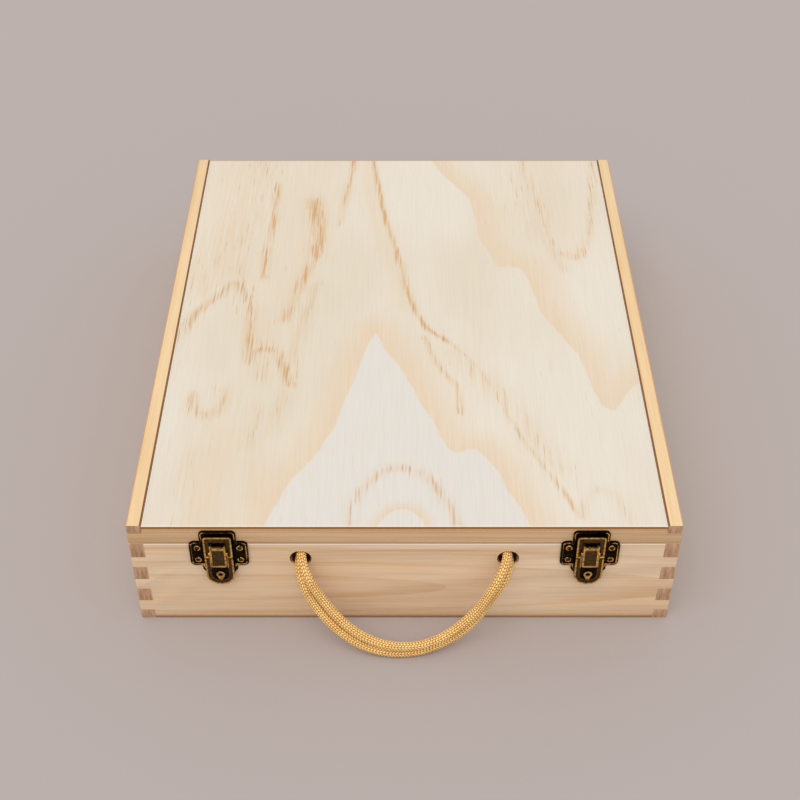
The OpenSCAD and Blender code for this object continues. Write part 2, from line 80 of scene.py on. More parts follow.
# The braid: columns of stitches that lean left and right by turns. Each stitch is highest on its
# crown and falls off towards the sides of its column by STITCH_FALL.
BRAID_COLUMNS = 12
BRAID_RELIEF = 0.42 * MM
STITCH_LENGTH = 1.75 * MM
STITCH_LEAN = 0.5
STITCH_FALL = 1.85

# How fine the meshes are
RING_STEP = 0.25 * MM
RING_POINTS = 96
KNOT_RING_STEP = 0.32 * MM
KNOT_RING_POINTS = 64
CURVE_PARTS = 24

wall_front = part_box("front_wall")[0][1]
wall_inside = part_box("left_rope_knot")[0][1]
wall_t = wall_inside - wall_front

# Each strand from the left hole to the right one, in millimetres: across from the middle of the
# box, out from the front wall, and up from the floor
INNER_ROUTE = [
    (-56.4, 0, 52.4), (-54.9, 6.8, 50.3), (-52.4, 11, 46.1), (-49.4, 12.8, 40.1),
    (-45.7, 13.8, 33.2), (-40.9, 16, 26.4), (-34.7, 19.2, 20.1), (-26.8, 22.6, 14.6),
    (-17.9, 25.3, 10.6), (-8.9, 27.2, 8.9), (0, 27.9, 8.6), (8.8, 27.3, 9.1), (17.6, 25.3, 11),
    (26.4, 22.3, 14.9), (34.4, 19, 20.3), (40.8, 16.7, 27.1), (45.1, 15.8, 35),
    (48.9, 14.3, 42.4), (52.2, 11.1, 47.6), (54.8, 6.5, 50.8), (56.4, 0, 52.4),
]
OUTER_ROUTE = [
    (-57.6, 0, 47), (-57.2, 3.9, 46), (-56.1, 8.1, 43.2), (-54.3, 11.3, 38), (-50.9, 13.1, 30.6),
    (-45.9, 16.1, 23.3), (-38.9, 19.7, 16.3), (-29.9, 23.1, 9.7), (-19.6, 25.8, 5.1),
    (-9.4, 27.2, 3.2), (0.1, 27.3, 2.8), (9.3, 26.3, 3.6), (18.2, 24.1, 5.5), (26.7, 21.4, 8.8),
    (34.5, 18.4, 13.6), (41.3, 14.9, 19.9), (46.4, 12.1, 27.6), (50.4, 12.1, 36),
    (54.2, 9.3, 42.6), (56.7, 4.3, 46.1), (57.6, 0, 47),
]
INNER_LENGTH = 0.187
OUTER_LENGTH = 0.189


def srgb(red, green, blue):
    """A colour as it is seen, 0 to 255 a channel, as the linear colour that a shader takes."""
    linear = []
    for channel in (red, green, blue):
        share = channel / 255
        linear.append(share / 12.92 if share < 0.04045 else ((share + 0.055) / 1.055) ** 2.4)
    return (*linear, 1)


def new_material(name, **sockets):
    """A material with a Principled shader; sockets are named as in Blender, with _ for a space."""
    made = bpy.data.materials.new(name)
    made.use_nodes = True
    surface = made.node_tree.nodes["Principled BSDF"]
    for socket, value in sockets.items():
        surface.inputs[socket.replace("_", " ")].default_value = value
    return made


def add_node(made, kind, inputs, **settings):
    """A shader node. Inputs go by name or number, and are values or other nodes' outputs."""
    node = made.node_tree.nodes.new("ShaderNode" + kind)
    for setting, value in settings.items():
        setattr(node, setting, value)
    for socket, value in inputs.items():
        if isinstance(value, bpy.types.NodeSocket):
            made.node_tree.links.new(value, node.inputs[socket])
        else:
            node.inputs[socket].default_value = value
    return node


def math_of(made, operation, first, second=0.0, clamp=False):
    """What an operation makes of two values, each a number or a node's output."""
    node = add_node(made, "Math", {0: first, 1: second}, operation=operation, use_clamp=clamp)
    return node.outputs[0]


def product_of(made, *values):
    """The product of values, each a number or a node's output."""
    product = values[0]
    for value in values[1:]:
        product = math_of(made, "MULTIPLY", product, value)
    return product


def ramp_of(made, factor, *stops):
    """The colour at factor on a ramp, whose stops are (place, colour)."""
    node = add_node(made, "ValToRGB", {"Fac": factor})
    ramp = node.color_ramp
    while len(ramp.elements) < len(stops):
        ramp.elements.new(1)
    for element, (place, colour) in zip(ramp.elements, stops):
        element.position = place
        element.color = colour
    return node.outputs["Color"]


def noise_of(made, vector, scale, detail=2.0, roughness=0.5):
    """Noise over the places that vector gives, between 0 and 1 and mostly near 0.5."""
    inputs = {"Vector": vector, "Scale": scale, "Detail": detail, "Roughness": roughness}
    return add_node(made, "TexNoise", inputs).outputs[0]


def attribute_of(made, name, output="Fac"):
    """What the mesh carries at its points under a name."""
    return add_node(made, "Attribute", {}, attribute_name=name).outputs[output]


def place_of(made):
    """The place on the piece, in metres."""
    return add_node(made, "TexCoord", {}).outputs["Object"]


def finish_material(made, colour, roughness=None, bumps=()):
    """Feeds the shader. Bumps are (height, distance in metres, strength), the coarsest first."""
    surface = made.node_tree.nodes["Principled BSDF"]
    links = made.node_tree.links
    links.new(colour, surface.inputs["Base Color"])
    if roughness is not None:
        links.new(roughness, surface.inputs["Roughness"])
    normal = None
    for height, distance, strength in bumps:
        inputs = {"Height": height, "Distance": distance, "Strength": strength}
        if normal is not None:
            inputs["Normal"] = normal
        normal = add_node(made, "Bump", inputs).outputs[0]
    if normal is not None:
        links.new(normal, surface.inputs["Normal"])
    return made


def gold_yarn():
    """Shiny yarn: brown painted shade between the stitches, gold on their flanks and a pale
    painted highlight on their crowns.
    """
    made = new_material("gold_rope", Roughness=0.34, Specular_IOR_Level=0.4)
    crown = attribute_of(made, "crown")
    shade = attribute_of(made, "shade")
    fibres = noise_of(made, place_of(made), 5200, 2)
    level = math_of(made, "ADD", crown, product_of(made, fibres, 0.1))
    level = math_of(made, "SUBTRACT", level, product_of(made, shade, 0.12))
    # Painted light: the ramp paints shade where the skin lies low between the stitches and a pale
    # highlight on each crown; the gold between is the yarn's own colour.
    colour = ramp_of(
        made, level,
        (0.14, srgb(156, 70, 0)), (0.45, srgb(214, 128, 14)), (0.68, srgb(248, 188, 66)),
        (0.86, srgb(255, 242, 186)),
    )
    return finish_material(made, colour, bumps=[(fibres, 0.03 * MM, 0.4)])


def smooth_line(points, step):
    """A smooth curve through the points, as points about one step apart."""
    points = np.array(points, float)
    knots = np.concatenate([[0], np.cumsum(np.linalg.norm(np.diff(points, axis=0), axis=1))])
    slopes = np.gradient(points, knots, axis=0)
    dense = []
    for i in range(len(points) - 1):
        span = knots[i + 1] - knots[i]
        t = np.linspace(0, 1, CURVE_PARTS, endpoint=False)[:, None]
        dense.append(
            points[i] * (2 * t**3 - 3 * t**2 + 1) + points[i + 1] * (3 * t**2 - 2 * t**3)
            + slopes[i] * span * (t**3 - 2 * t**2 + t) + slopes[i + 1] * span * (t**3 - t**2)
        )
    dense = np.concatenate(dense + [points[-1:]])
    run = np.concatenate([[0], np.cumsum(np.linalg.norm(np.diff(dense, axis=0), axis=1))])
    even = np.linspace(0, run[-1], int(round(run[-1] / step)) + 1)
    return np.stack([np.interp(even, run, places) for places in dense.T], axis=1)


def ring_directions(line):
    """The side and the up direction of each ring, carried along the line without a twist."""
    headings = np.gradient(line, axis=0)
    headings /= np.linalg.norm(headings, axis=1)[:, None]
    side = np.array([1.0, 0.3, 0.2])
    sides = []
    for heading in headings:
        side = side - side.dot(heading) * heading
        side = side / np.linalg.norm(side)
        sides.append(side)
    sides = np.array(sides)
    return sides, np.cross(headings, sides)


def write_values(mesh, name, values):
    """Gives each point of a mesh its value."""
    layer = mesh.attributes.new(name, "FLOAT", "POINT")
    layer.data.foreach_set("value", values.astype(np.float32).ravel())


def braided_strand(name, points, ring_step, ring_points):
    """A strand along the points: a closed tube whose skin has the braid's stitches in relief.

    Each point of the skin knows how near it is to the crown of its stitch, from 0 to 1, and each
    stitch has a shade of its own, from 0 to 1 and the same in every run.
    """
    line = smooth_line(points, ring_step)
    rings = len(line)
    sides, ups = ring_directions(line)
    turn = np.arange(ring_points) / ring_points
    around, along = np.meshgrid(turn, np.arange(rings) * ring_step)
    column = np.floor(around * BRAID_COLUMNS)
    across = around * BRAID_COLUMNS - column - 0.5
    lean = np.where(column % 2 == 0, STITCH_LEAN, -STITCH_LEAN)
    half_step = 0.5 * (np.floor(column / 2) % 2)
    phase = along / STITCH_LENGTH + lean * across + half_step
    stitch = np.floor(phase)
    ahead = phase - stitch - 0.5
    crown = np.sqrt(np.clip(1 - (2 * ahead) ** 2, 0, 1))
    crown *= np.sqrt(1 - (STITCH_FALL * across) ** 2)
    shade = np.modf(np.abs(np.sin(column * 12.9898 + stitch * 78.233)) * 43758.5453)[0]
    radius = STRAND_D / 2 - BRAID_RELIEF * (1 - crown)
    angle = 2 * math.pi * around
    skin = (
        line[:, None, :]
        + (radius * np.cos(angle))[:, :, None] * sides[:, None, :]
        + (radius * np.sin(angle))[:, :, None] * ups[:, None, :]
    ).reshape(-1, 3)
    index = np.arange(rings * ring_points).reshape(rings, ring_points)
    ahead_of = np.roll(index, -1, axis=1)
    quads = np.stack([index[:-1], ahead_of[:-1], ahead_of[1:], index[1:]], axis=-1).reshape(-1, 4)
    caps = [list(index[0][::-1]), list(index[-1])]
    mesh = bpy.data.meshes.new(name)
    mesh.from_pydata(skin.tolist(), [], quads.tolist() + caps)
    write_values(mesh, "crown", crown)
    write_values(mesh, "shade", shade)
    mesh.shade_smooth()
    strand = bpy.data.objects.new(name, mesh)
    bpy.context.scene.collection.objects.link(strand)
    return strand, line


def strand_points(route):
    """A strand in metres, with the stretch that lies in each hole."""
    deep = -wall_t / MM
    (left_x, _, left_z), (right_x, _, right_z) = route[0], route[-1]
    start = [(left_x, deep, left_z), (left_x, deep / 2, left_z)]
    end = [(right_x, deep / 2, right_z), (right_x, deep, right_z)]
    return [(x * MM, wall_front - y * MM, z * MM) for x, y, z in start + route + end]


yarn = gold_yarn()
strands = {}
for name, route, nodes in (
    ("inner_strand", INNER_ROUTE, ["rope_inner_strand", "left_rope_ends"]),
    ("outer_strand", OUTER_ROUTE, ["rope_outer_strand", "right_rope_ends"]),
):
    strand, line = braided_strand(name, strand_points(route), RING_STEP, RING_POINTS)
    strand.data.materials.append(yarn)
    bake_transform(strand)
    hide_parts(*nodes)
    strands[name] = (strand, line)

# The knot, in millimetres from the middle of its hole: outwards from the middle of the box,
# inwards from the wall, and up
CORE_ROUTE = [
    (-0.6, 0, 2.4), (-0.3, 2.5, 1.3), (0, 5.2, 0.2), (0, 8, -0.2), (0, 11, -1.2), (0, 14, -2.3),
    (0, 17, -2.75), (0, 22, -2.75),
]
WRAP_RADIUS = 5.35
WRAP_TURNS = 1.5
WRAP_FROM = 2.65
WRAP_TO = 10.35
WRAP_STEPS = 18


def wrap_route():
    """The strand that is wound round the other: in at the bottom of the hole, out at the top."""
    route = [(0.6, 0, -3)]
    for i in range(WRAP_STEPS + 1):
        share = i / WRAP_STEPS
        angle = math.radians(-90 - 360 * WRAP_TURNS * share)
        inwards = WRAP_FROM + (WRAP_TO - WRAP_FROM) * share
        route.append((WRAP_RADIUS * math.cos(angle), inwards, WRAP_RADIUS * math.sin(angle)))
    return route + [(0.4, 13.6, 4.4), (0, 17, 2.85), (0, 22, 2.75)]


def select_only(*pieces):
    """Selects the pieces and nothing else, and makes the first one active."""
    bpy.ops.object.select_all(action="DESELECT")
    for piece in pieces:
        piece.select_set(True)
    bpy.context.view_layer.objects.active = pieces[0]


def rope_knot(side_name, hole_x):
    """The knot behind a hole: one strand's end, with the other's wound round it."""
    halves = []
    outwards = math.copysign(MM, hole_x)
    for part, route in (("core", CORE_ROUTE), ("wrap", wrap_route())):
        points = [
            (hole_x + x * outwards, wall_inside + y * MM, HOLE_Z + z * MM) for x, y, z in route
        ]
        half, _ = braided_strand(
            f"{side_name}_knot_{part}", points, KNOT_RING_STEP, KNOT_RING_POINTS
        )
        halves.append(half)
    select_only(*halves)
    bpy.ops.object.join()
    knot = halves[0]
    knot.name = f"{side_name}_knot"
    knot.data.materials.append(yarn)
    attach(knot, "base")
    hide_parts(f"{side_name}_rope_knot")
    return knot


knots = {side: rope_knot(side, hole_x) for side, hole_x in (("left", -HOLE_X), ("right", HOLE_X))}
for name, length, start, knot in (
    ("inner_strand", INNER_LENGTH, INNER_ROUTE[0], knots["left"]),
    ("outer_strand", OUTER_LENGTH, OUTER_ROUTE[0], knots["right"]),
):
    strand, line = strands[name]


# ---- Carcass ----
# Planed pine boards, 8 mm thick, finger-jointed and glued. The lid is sawn off the closed box, so
# a wall and the rail above it are one board with one grain. The saw cut and the holes are eased.
MERGE = 0.002 * MM
FLAT = math.radians(1)
SHARP = math.radians(30)
HOLE_R = 6 * MM

# What counts as at a hole, on a face, and too short to ease
NEAR_HOLE = HOLE_R + 0.5 * MM
NEAR = 0.3 * MM
SHORT_EDGE = 1 * MM

# How wide the edges are eased
BASE_SAW_EASE = 0.6 * MM
LID_SAW_EASE = 0.25 * MM
HOLE_EASE = 0.5 * MM
OUTER_EASE = 0.3 * MM
CORNER_EASE = 0.25 * MM
JOINT_EASE = 0.05 * MM

# Painted light: a highlight on the base's eased edge at the saw cut, and a shadow on the lid's
# edge just above it
SAW_CUT_HIGHLIGHT = srgb(255, 247, 232)
SAW_CUT_SHADOW = srgb(128, 88, 56)
# Painted light: a highlight round the holes in the front wall, and shade inside them
HOLE_RIM_HIGHLIGHT = srgb(240, 210, 168)
BORE_SHADE = srgb(88, 52, 28)
# Painted shade along the edges of the side rails' tops: brown by the gap to the panel, orange at
# the outer arris
RAIL_GAP_SHADE = srgb(138, 86, 42)
RAIL_ARRIS_SHADE = srgb(212, 146, 76)

saw_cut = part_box("front_wall")[1][2]
side_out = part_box("right_wall")[1][0]
back_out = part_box("right_wall")[1][1]
lid_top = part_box("lid_right_rail")[1][2]


def bench_copy(node_name, piece_name):
    """A copy of a node to be finished: its triangles are joined up and its flats made whole."""
    piece = bpy.data.objects.new(piece_name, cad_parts[node_name].data.copy())
    bpy.context.scene.collection.objects.link(piece)
    piece.data.materials.clear()
    select_only(piece)
    bpy.ops.object.mode_set(mode="EDIT")
    bpy.ops.mesh.select_all(action="SELECT")
    bpy.ops.mesh.remove_doubles(threshold=MERGE)
    bpy.ops.mesh.dissolve_limited(angle_limit=FLAT)
    bpy.ops.object.mode_set(mode="OBJECT")
    return piece


def ease(piece, width_at, widest, segments=2):
    """Rounds the sharp edges of a piece, each by the width that width_at gives for its middle."""
    shape = bmesh.new()
    shape.from_mesh(piece.data)
    weight = shape.edges.layers.float.new("bevel_weight_edge")
    for edge in shape.edges:
        if len(edge.link_faces) == 2 and abs(edge.calc_face_angle_signed(0)) > SHARP:
            middle = (edge.verts[0].co + edge.verts[1].co) / 2
            edge[weight] = width_at(middle, edge) / widest
    shape.to_mesh(piece.data)
    shape.free()
    bevel = piece.modifiers.new("arris", "BEVEL")
    bevel.limit_method = "WEIGHT"
    bevel.width = widest
    bevel.segments = segments
    bevel.use_clamp_overlap = True
    select_only(piece)
    bpy.ops.object.modifier_apply(modifier=bevel.name)
    piece.data.shade_smooth()
    bpy.ops.object.shade_smooth_by_angle(angle=SHARP)


def board_edge(middle, edge):
    """Well eased at the saw cut, the outside and the holes, and barely in the joints."""
    from_hole = math.hypot(abs(middle.x) - HOLE_X, middle.z - HOLE_Z)
    if from_hole < NEAR_HOLE and middle.y < wall_inside + NEAR:
        return HOLE_EASE
    if edge.calc_length() < SHORT_EDGE:
        return 0
    on_side = abs(abs(middle.x) - side_out) < NEAR
    on_front_or_back = abs(abs(middle.y) - back_out) < NEAR
    outside = on_side or on_front_or_back
    if outside and abs(middle.z - saw_cut) < NEAR:
        below = min(vert.co.z for face in edge.link_faces for vert in face.verts)
        return BASE_SAW_EASE if below < saw_cut - NEAR else LID_SAW_EASE
    if outside and (middle.z < NEAR or middle.z > lid_top - NEAR):
        return OUTER_EASE
    if on_side and on_front_or_back:
        return CORNER_EASE
    return JOINT_EASE


def step_of(made, value, low, high, result_low=0.0, result_high=1.0):
    """Value on a soft step from result_low, at low, to result_high, at high."""
    inputs = {0: value, 1: low, 2: high, 3: result_low, 4: result_high}
    node = add_node(made, "MapRange", inputs, interpolation_type="SMOOTHSTEP")
    return node.outputs[0]


def band_of(made, value, rise, fall):
    """1 between two soft steps in value, each given by its two ends, and 0 outside them."""
    return product_of(made, step_of(made, value, *rise), step_of(made, value, *fall, 1.0, 0.0))


def mix_of(made, factor, first, second, blend="MIX"):
    """Two colours, mixed by factor or put together in another way."""
    node = add_node(
        made, "Mix", {0: factor, 6: first, 7: second}, data_type="RGBA", blend_type=blend
    )
    return node.outputs[2]


def tinted(made, colour, factor, *stops):
    """Colour times the tint at factor on a ramp."""
    return mix_of(made, 1.0, colour, ramp_of(made, factor, *stops), "MULTIPLY")


def stretched(made, vector, scale, turn=0.0, shift=(0, 0, 0)):
    """Vector shifted, then turned about Z, then scaled along each axis."""
    centred = add_node(made, "VectorMath", {0: vector, 1: shift}, operation="SUBTRACT")
    turned = add_node(
        made, "VectorRotate", {"Vector": centred.outputs[0], "Angle": turn}, rotation_type="Z_AXIS"
    )
    scaled = add_node(
        made, "VectorMath", {0: turned.outputs[0], 1: scale}, operation="MULTIPLY"
    )
    return scaled.outputs[0]


def grain_of(made, place, scale, turn=0.0, detail=2.0, roughness=0.5):
    """Noise drawn out along the grain: scale is how fine it is along each axis, per metre."""
    return noise_of(made, stretched(made, place, scale, turn), 1, detail, roughness)


def parts_of(made, vector):
    """The X, Y and Z of a vector."""
    return add_node(made, "SeparateXYZ", {0: vector}).outputs


def at_saw_cut(made, colour, height):
    """A painted highlight on the base's eased edge, and a painted shadow on the lid next to it,
    just above the saw cut.
    """
    edge_highlight = band_of(
        made, height, (saw_cut - 0.8 * MM, saw_cut - 0.6 * MM), (saw_cut - 0.06 * MM, saw_cut)
    )
    colour = mix_of(made, edge_highlight, colour, SAW_CUT_HIGHLIGHT)
    edge_shadow = band_of(
        made, height, (saw_cut - 0.04 * MM, saw_cut + 0.02 * MM),
        (saw_cut + 0.45 * MM, saw_cut + 0.8 * MM),
    )
    return mix_of(made, product_of(made, edge_shadow, 0.85), colour, SAW_CUT_SHADOW)


def at_holes(made, colour, across, depth, height):
    """A painted highlight round the two holes in the front wall, and painted shade inside them."""
    squares = [
        math_of(made, "POWER", math_of(made, "SUBTRACT", value, middle), 2.0)
        for value, middle in ((across, HOLE_X), (height, HOLE_Z))
    ]
    from_hole = math_of(made, "SQRT", math_of(made, "ADD", *squares))
    rim = product_of(
        made, step_of(made, from_hole, NEAR_HOLE, NEAR_HOLE + 0.25 * MM, 1.0, 0.0),
        step_of(made, depth, wall_front + 0.5 * MM, wall_front + 1.5 * MM, 1.0, 0.0),
    )
    colour = mix_of(made, rim, colour, HOLE_RIM_HIGHLIGHT)
    bore = product_of(
        made, step_of(made, from_hole, HOLE_R + 0.1 * MM, HOLE_R + 0.35 * MM, 1.0, 0.0),
        band_of(
            made, depth, (wall_front + 0.5 * MM, wall_front + 2.5 * MM),
            (wall_inside - 1 * MM, wall_inside),
        ),
    )
    return mix_of(made, bore, colour, BORE_SHADE)


def at_rail_edges(made, colour, across, height):
    """Painted shade along both edges of a side rail's top: a brown line by the gap to the panel,
    and an orange line at the outer arris.
    """
    on_top = step_of(made, height, lid_top - 0.5 * MM, lid_top - 0.35 * MM)
    inside = side_out - wall_t
    inner = step_of(made, across, inside + 0.65 * MM, inside + 0.95 * MM, 1.0, 0.0)
    outer = step_of(made, across, side_out - 0.75 * MM, side_out - 0.4 * MM)
    colour = mix_of(made, product_of(made, on_top, inner), colour, RAIL_GAP_SHADE)
    return mix_of(made, product_of(made, on_top, outer, 0.7), colour, RAIL_ARRIS_SHADE)


def pine(name, turn, heart, light, dark, drawn_out=13, wander=5, ring_scale=0.314):
    """Long grain: soft growth rings round the heart, drawn out along the board, fibres and tone.

    The rings wander from true rounds, and ring_scale is how close they lie.
    """
    made = new_material(name, Roughness=0.62, Specular_IOR_Level=0.35)
    place = place_of(made)
    rings = add_node(
        made, "TexWave",
        {
            "Vector": stretched(made, place, (drawn_out, 260, 260), turn, heart),
            "Scale": ring_scale, "Distortion": wander, "Detail": 2, "Detail Scale": 0.35,
        },
        wave_type="RINGS", rings_direction="SPHERICAL", wave_profile="SAW",
    ).outputs["Fac"]
    fibres = grain_of(made, place, (26, 1500, 1500), turn)
    streaks = grain_of(made, place, (9, 420, 420), turn)
    tone = grain_of(made, place, (6, 38, 38), turn, 1)
    late = product_of(made, step_of(made, rings, 0.62, 0.98), 0.3)
    wood = math_of(made, "ADD", late, step_of(made, streaks, 0.42, 0.72, 0.0, 0.22))
    wood = math_of(made, "ADD", wood, step_of(made, tone, 0.3, 0.7, 0.0, 0.3), clamp=True)
    colour = tinted(
        made, mix_of(made, wood, light, dark), fibres,
        (0.35, (0.94, 0.93, 0.92, 1)), (0.62, (1.02, 1.02, 1.02, 1)),
    )
    across, depth, height = parts_of(made, place)
    across = math_of(made, "ABSOLUTE", across)
    colour = at_saw_cut(made, colour, height)
    colour = at_holes(made, colour, across, depth, height)
    if turn:
        colour = at_rail_edges(made, colour, across, height)
    return finish_material(
        made, colour, bumps=[(late, 0.04 * MM, 0.2), (fibres, 0.04 * MM, 0.25)]
    )


def end_grain(name, turn):
    """The cut ends of the boards: darker, with the rings as close stripes and open pores."""
    made = new_material(name, Roughness=0.75, Specular_IOR_Level=0.25)
    place = place_of(made)
    rings = grain_of(made, place, (900, 900, 120), turn, 2, 0.55)
    pores = noise_of(made, place, 3800, 2, 0.7)
    level = math_of(made, "ADD", rings, product_of(made, pores, 0.5))
    colour = ramp_of(
        made, level, (0.5, srgb(166, 124, 92)), (0.75, srgb(196, 154, 120)),
        (0.95, srgb(214, 174, 140)),
    )
    return finish_material(made, colour, bumps=[(level, 0.1 * MM, 0.4)])


def cut_faces(piece, grain_axis, material):
    """Gives material to the faces that look along the grain, and so show its end."""
    piece.data.materials.append(material)
    for face in piece.data.polygons:
        if abs(face.normal[grain_axis]) > 0.8:
            face.material_index = len(piece.data.materials) - 1


ALONG_X = 0.0
ALONG_Y = -math.pi / 2
front_pine = pine(
    "front_pine", ALONG_X, (-110 * MM, wall_front, 26 * MM), srgb(245, 218, 185),
    srgb(220, 176, 124), drawn_out=21.5, wander=0.9, ring_scale=0.11,
)
lid_front_pine = pine(
    "lid_front_pine", ALONG_X, (-20 * MM, wall_front, 60 * MM), srgb(226, 192, 150),
    srgb(200, 152, 102), drawn_out=10, wander=2,
)
back_pine = pine(
    "back_pine", ALONG_X, (40 * MM, 230 * MM, 90 * MM), srgb(243, 212, 176), srgb(221, 175, 126)
)
left_pine = pine(
    "left_pine", ALONG_Y, (-170 * MM, 20 * MM, 40 * MM), srgb(247, 215, 168), srgb(237, 195, 140)
)
right_pine = pine(
    "right_pine", ALONG_Y, (190 * MM, -50 * MM, 20 * MM), srgb(247, 215, 168), srgb(237, 195, 140)
)
cut_across = end_grain("end_grain_x", ALONG_X)
cut_along = end_grain("end_grain_y", ALONG_Y)

for node_name, piece_name, body, grain_axis, long_grain in (
    ("front_wall", "front_board", "base", 0, front_pine),
    ("back_wall", "back_board", "base", 0, back_pine),
    ("left_wall", "left_board", "base", 1, left_pine),
    ("right_wall", "right_board", "base", 1, right_pine),
    ("lid_front_rail", "lid_front_board", "lid", 0, lid_front_pine),
    ("lid_back_rail", "lid_back_board", "lid", 0, back_pine),
    ("lid_left_rail", "lid_left_board", "lid", 1, left_pine),
    ("lid_right_rail", "lid_right_board", "lid", 1, right_pine),
):
    board = bench_copy(node_name, piece_name)
    ease(board, board_edge, BASE_SAW_EASE)
    board.data.materials.append(long_grain)
    cut_faces(board, grain_axis, cut_across if grain_axis == 0 else cut_along)
    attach(board, body)
    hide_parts(node_name)


# ---- Plywood panels ----
# Sanded 4 mm plywood with a pale, rotary-cut face. The top panel lies between the side rails, half
# a millimetre below their edges, and shows flame figure: growth rings cut at a low angle, each
# with one crisp side, and combs of short brown streaks along the grain.
PANEL_PLAY = 0.25 * MM
PANEL_ARRIS = 0.35 * MM
GRID_STEP = 1.2 * MM
BOTTOM_EASE = 0.2 * MM
FIGURE_STEP = 3.0
PLIES = 1
UNDERSIDE = 2

# Stand-ins for no distance measured yet, and for a stretch of no length
FAR = 1e9
TINY = 1e-12

# The figure, in millimetres from the middle of the panel: right, and back. Each tan edge has the
# width over which it fades, the corners that close its outline, and the side on which it is tan.
TAN_EDGES = [
    (26, [], "outside", [
        (-78, -192), (-69, -164), (-63, -149), (-52, -132), (-45, -116), (-40, -104), (-38, -92),
        (-34, -77), (-29, -60), (-25, -40), (-20, -24), (-18, -18), (-15, -25), (-10, -38),
        (-2, -52), (4, -68), (10, -85), (17, -100), (22, -116), (26, -124), (30, -127),
        (34, -125), (40, -124), (46, -131), (52, -141), (57, -156), (63, -170), (71, -192),
    ]),
    (30, [(150, 194)], "inside", [
        (16, 194), (22, 180), (32, 157), (43, 140), (48, 123), (50, 105), (51, 87), (55, 75),
        (59, 63), (62, 51), (69, 52), (77, 50), (81, 39), (85, 18), (89, -1), (95, -14),
        (100, -25), (105, -35), (109, -50), (112, -66), (115, -80), (119, -89), (123, -91),
        (129, -82), (135, -72), (150, -60),
    ]),
    (9, [], "outside", [
        (-16, -190), (-13, -181), (-8, -174), (-2, -171), (3, -172), (8, -177), (12, -190),
    ]),
]

# Combs of brown dashes, and tan smears, as (strength, half width, points)
COMB_SPREAD = 1.7
COMBS = [
    (1.05, 1.4, [(-23, 190), (-13, 113), (-2, 54), (6, 10), (16, -15), (29, -28)]),
    (0.8, 1.3, [
        (29, -28), (40, -44), (52, -68), (62, -99), (72, -124), (84, -149), (95, -177),
    ]),
    (0.45, 2.2, [
        (96, -177), (100, -164), (107, -156), (113, -158), (119, -168), (124, -190),
    ]),
    (0.8, 1.6, [(13, -23), (23, -54), (32, -70), (33, -92)]),
    (0.8, 1.8, [(-36, 188), (-41, 135), (-44, 101)]),
    (1.1, 4.2, [(-62, 128), (-58, 95), (-59, 65)]),
    (0.95, 2.4, [(-59, 65), (-66, 37), (-71, 10), (-76, -5)]),
    (0.9, 2.4, [(-90, 151), (-89, 113), (-92, 71), (-92, 40)]),
    (0.95, 2.6, [
        (-146, -32), (-130, 5), (-119, 21), (-110, 34), (-101, 18), (-97, -10), (-94, -47),
        (-90, -35), (-81, -35), (-74, -49), (-68, -67),
    ]),
    (0.6, 2.6, [(-68, -67), (-67, -35), (-64, -10), (-57, 32)]),
    (0.65, 3.0, [(-126, -77), (-123, -90), (-116, -95), (-108, -88), (-107, -72)]),
    (0.42, 11, [(-136, 32), (-120, 71), (-104, 125), (-104, 190)]),
    (0.5, 5, [(-112, 60), (-100, 10), (-84, -60)]),
    (0.6, 2.2, [(85, 190), (90, 158), (94, 130), (98, 101), (101, 64), (106, 48)]),
    (0.6, 2.4, [(106, 66), (115, 62), (123, 77), (130, 113), (139, 190)]),
    (0.3, 9, [(78, 190), (82, 140), (94, 90)]),
    (0.62, 2.2, [
        (-30, -190), (-27, -164), (-20, -151), (-11, -141), (0, -139), (12, -145), (20, -158),
        (31, -190),
    ]),
    (0.5, 5, [(32, -40), (48, -62), (70, -105), (86, -140)]),
    (0.5, 3, [(-86, -90), (-88, -120)]),
    (0.45, 3, [(-72, -75), (-76, -110)]),
    (0.35, 6, [(-118, -130), (-120, -190)]),
]
SMEARS = [
    (0.6, 12, [(-103, -112), (-106, -147), (-108, -195)]),
    (0.5, 6, [(-84, -135), (-83, -162)]),
    (0.4, 16, [(-60, 190), (-64, 120), (-74, 40), (-84, -20)]),
    (0.5, 7, [(-28, 190), (-20, 120), (-8, 60), (0, 10)]),
    (0.35, 26, [(-128, 190), (-120, 120), (-128, 40)]),
    (0.25, 16, [(100, 190), (104, 120), (114, 70)]),
]


def nearest_of(points, stretches):
    """How far each point lies from the nearest of some straight stretches, given by their ends."""
    nearest = np.full(len(points), FAR)
    for start, end in stretches:
        way = end - start
        offset = points - start
        share = np.clip(offset @ way / max(way.dot(way), TINY), 0, 1)
        nearest = np.minimum(nearest, np.linalg.norm(offset - share[:, None] * way, axis=1))
    return nearest


def distance_to(points, curve):
    """How far each point lies from a curve."""
    line = smooth_line(curve, FIGURE_STEP)
    return nearest_of(points, zip(line[:-1], line[1:]))


def within(points, outline):
    """Which points lie inside an outline."""
    inside = np.zeros(len(points), bool)
    for start, end in zip(outline, np.roll(outline, -1, axis=0)):
        spans = (start[1] > points[:, 1]) != (end[1] > points[:, 1])
        rise = end[1] - start[1] if end[1] != start[1] else 1.0
        meets = start[0] + (points[:, 1] - start[1]) * (end[0] - start[0]) / rise
        inside ^= spans & (points[:, 0] < meets)
    return inside


